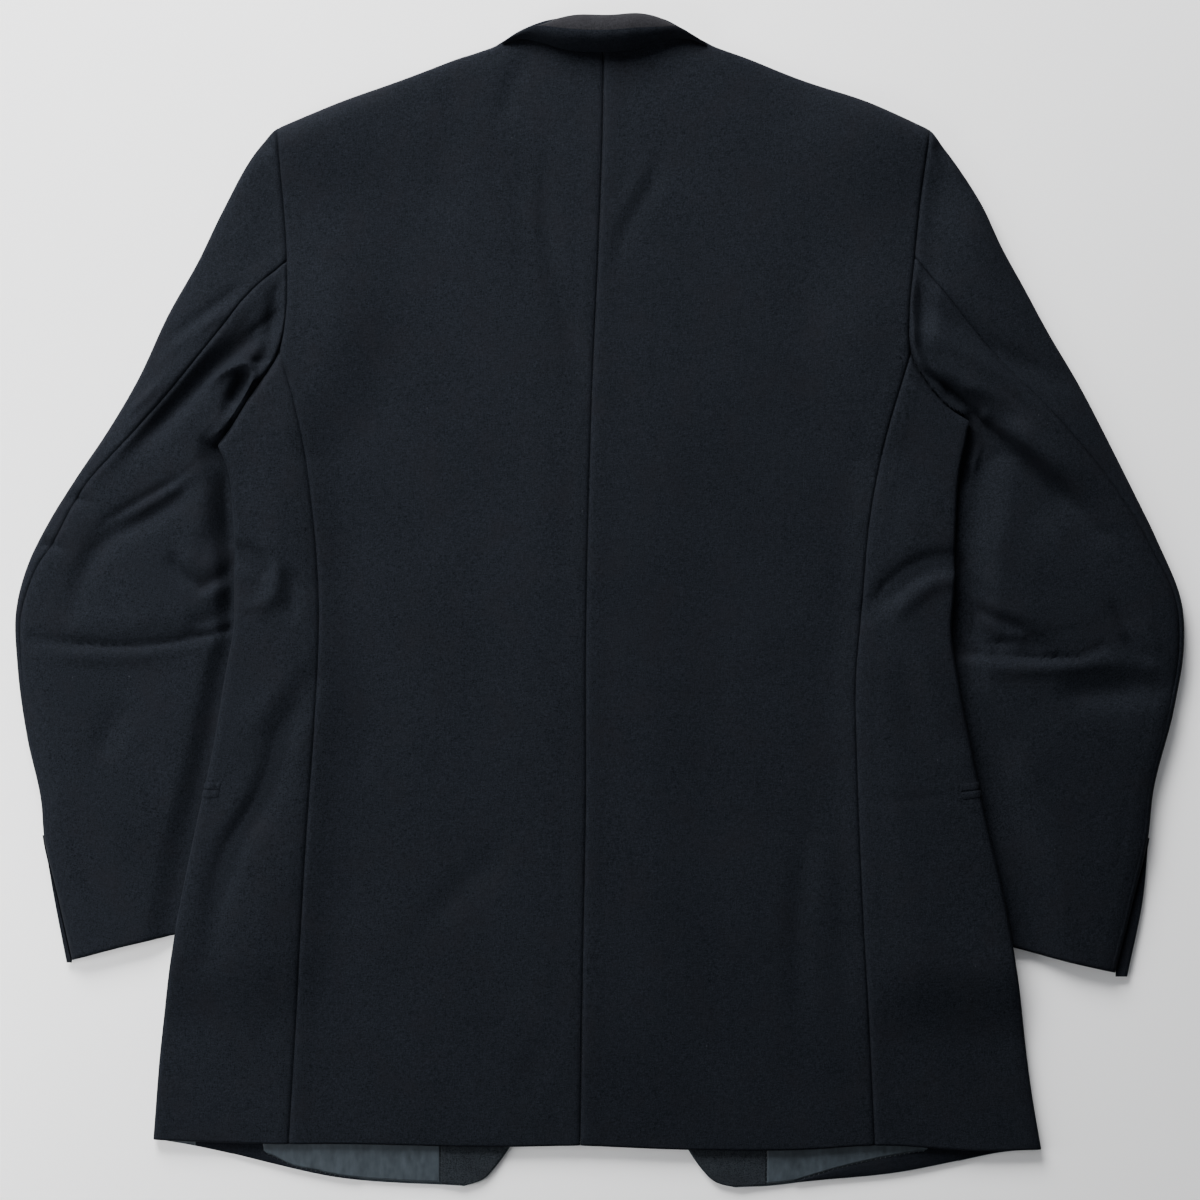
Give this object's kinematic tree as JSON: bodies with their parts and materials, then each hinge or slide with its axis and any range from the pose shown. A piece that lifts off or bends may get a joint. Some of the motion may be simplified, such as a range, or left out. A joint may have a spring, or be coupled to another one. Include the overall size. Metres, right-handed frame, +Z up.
{
  "type": "suit jacket",
  "caption": "Single-breasted wool suit jacket laid flat on its front with the back up, long two-piece sleeves beside the body and rounded front corners below the hem.",
  "frame": {"origin": "middle of the jacket's outline, on the surface that it lies on", "axes": "+Z up out of the back, +Y towards the collar, +X towards the wearer's right sleeve"},
  "size_m": [0.8344, 0.8405, 0.0242],
  "materials": {
    "suiting_wool": "matt plain-weave wool, dark navy to black",
    "lining_satin": "blue-grey satin with a soft shine",
    "horn_button": "dark, half polished"
  },
  "bodies": {
    "root": {"back_left": "suiting_wool", "back_right": "suiting_wool", "side_body_left": "suiting_wool", "side_body_right": "suiting_wool", "front_left": "suiting_wool", "front_right": "suiting_wool", "lapel_left": "suiting_wool", "lapel_right": "suiting_wool", "collar_stand": "suiting_wool", "collar_fall": "suiting_wool", "collar_leaf_left": "suiting_wool", "collar_leaf_right": "suiting_wool", "top_sleeve_left": "suiting_wool", "top_sleeve_right": "suiting_wool", "under_sleeve_left": "suiting_wool", "under_sleeve_right": "suiting_wool", "cuff_underlap_left": "suiting_wool", "cuff_underlap_right": "suiting_wool", "facing_left": "suiting_wool", "facing_right": "suiting_wool", "lining_left": "lining_satin", "lining_right": "lining_satin", "turn_up_left": "suiting_wool", "turn_up_right": "suiting_wool", "pocket_jet_upper_left": "suiting_wool", "pocket_jet_lower_left": "suiting_wool", "pocket_jet_upper_right": "suiting_wool", "pocket_jet_lower_right": "suiting_wool", "front_button_top": "horn_button", "front_button_low": "horn_button"}
  },
  "joints": []
}
